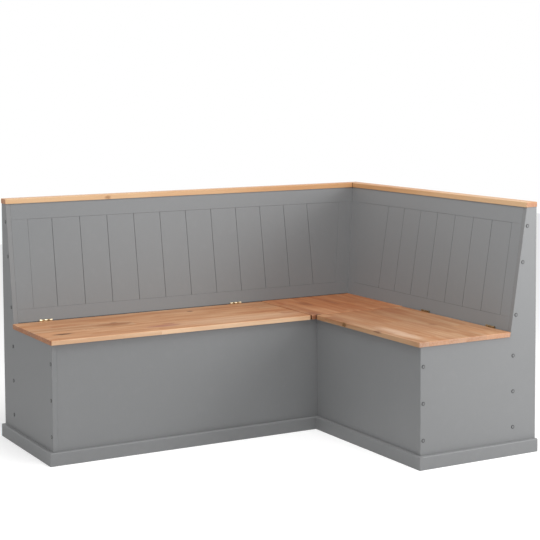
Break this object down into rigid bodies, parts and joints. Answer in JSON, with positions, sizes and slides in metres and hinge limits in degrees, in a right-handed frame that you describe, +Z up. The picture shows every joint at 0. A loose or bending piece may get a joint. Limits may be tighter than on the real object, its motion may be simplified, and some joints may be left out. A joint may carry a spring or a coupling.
{
  "type": "corner storage bench",
  "caption": "L-shaped corner bench with a storage box under each hinged seat lid, leaning tongued-and-grooved backrests in frames, mitred cap boards and a plinth.",
  "frame": {"origin": "on the floor, under the middle of the bench's outline seen from above", "axes": "+X along the long wing towards the side wall, +Y towards the back wall, +Z up"},
  "size_m": [1.66, 1.255, 0.94],
  "materials": {
    "painted_wood": "mid grey satin paint",
    "oiled_wood": "oiled, in glued strips",
    "raw_wood": "planed and bare",
    "hinge_brass": "plated, satin",
    "cap_plastic": "grey, matt"
  },
  "bodies": {
    "carcass": {"corner_seat": "oiled_wood", "cover_caps": "cap_plastic", "floor_cleats": "raw_wood", "hinge_pins": "hinge_brass", "inner_corner_post": "raw_wood", "left_end_panel": "painted_wood", "long_board_01": "painted_wood", "long_board_02": "painted_wood", "long_board_03": "painted_wood", "long_board_04": "painted_wood", "long_board_05": "painted_wood", "long_board_06": "painted_wood", "long_board_07": "painted_wood", "long_board_08": "painted_wood", "long_board_09": "painted_wood", "long_board_10": "painted_wood", "long_board_11": "painted_wood", "long_board_12": "painted_wood", "long_bottom_rail": "painted_wood", "long_cap": "oiled_wood", "long_corner_stile": "painted_wood", "long_divider": "raw_wood", "long_end_stile": "painted_wood", "long_floor_board": "raw_wood", "long_front_panel": "painted_wood", "long_hinge_fixed_leaves": "hinge_brass", "long_inner_back": "painted_wood", "long_top_rail": "painted_wood", "plinth_left_end": "painted_wood", "plinth_long_front": "painted_wood", "plinth_right_end": "painted_wood", "plinth_short_front": "painted_wood", "rear_corner_post": "raw_wood", "right_end_panel": "painted_wood", "short_board_01": "painted_wood", "short_board_02": "painted_wood", "short_board_03": "painted_wood", "short_board_04": "painted_wood", "short_board_05": "painted_wood", "short_board_06": "painted_wood", "short_board_07": "painted_wood", "short_board_08": "painted_wood", "short_bottom_rail": "painted_wood", "short_cap": "oiled_wood", "short_corner_stile": "painted_wood", "short_divider": "raw_wood", "short_end_stile": "painted_wood", "short_floor_board": "raw_wood", "short_front_panel": "painted_wood", "short_hinge_fixed_leaves": "hinge_brass", "short_inner_back": "painted_wood", "short_top_rail": "painted_wood"},
    "long_lid_body": {"long_lid": "oiled_wood", "long_lid_battens": "raw_wood", "long_hinge_lid_leaves": "hinge_brass"},
    "short_lid_body": {"short_lid": "oiled_wood", "short_lid_battens": "raw_wood", "short_hinge_lid_leaves": "hinge_brass"}
  },
  "joints": [
    {"name": "long_lid_hinge", "type": "hinge", "parent": "carcass", "child": "long_lid_body", "pos_m": [-0.2735, 0.50624, 0.4658], "axis": [-1, 0, 0], "range_deg": [0, 98]},
    {"name": "short_lid_hinge", "type": "hinge", "parent": "carcass", "child": "short_lid_body", "pos_m": [0.70874, -0.2655, 0.4658], "axis": [0, 1, 0], "range_deg": [0, 98]}
  ]
}
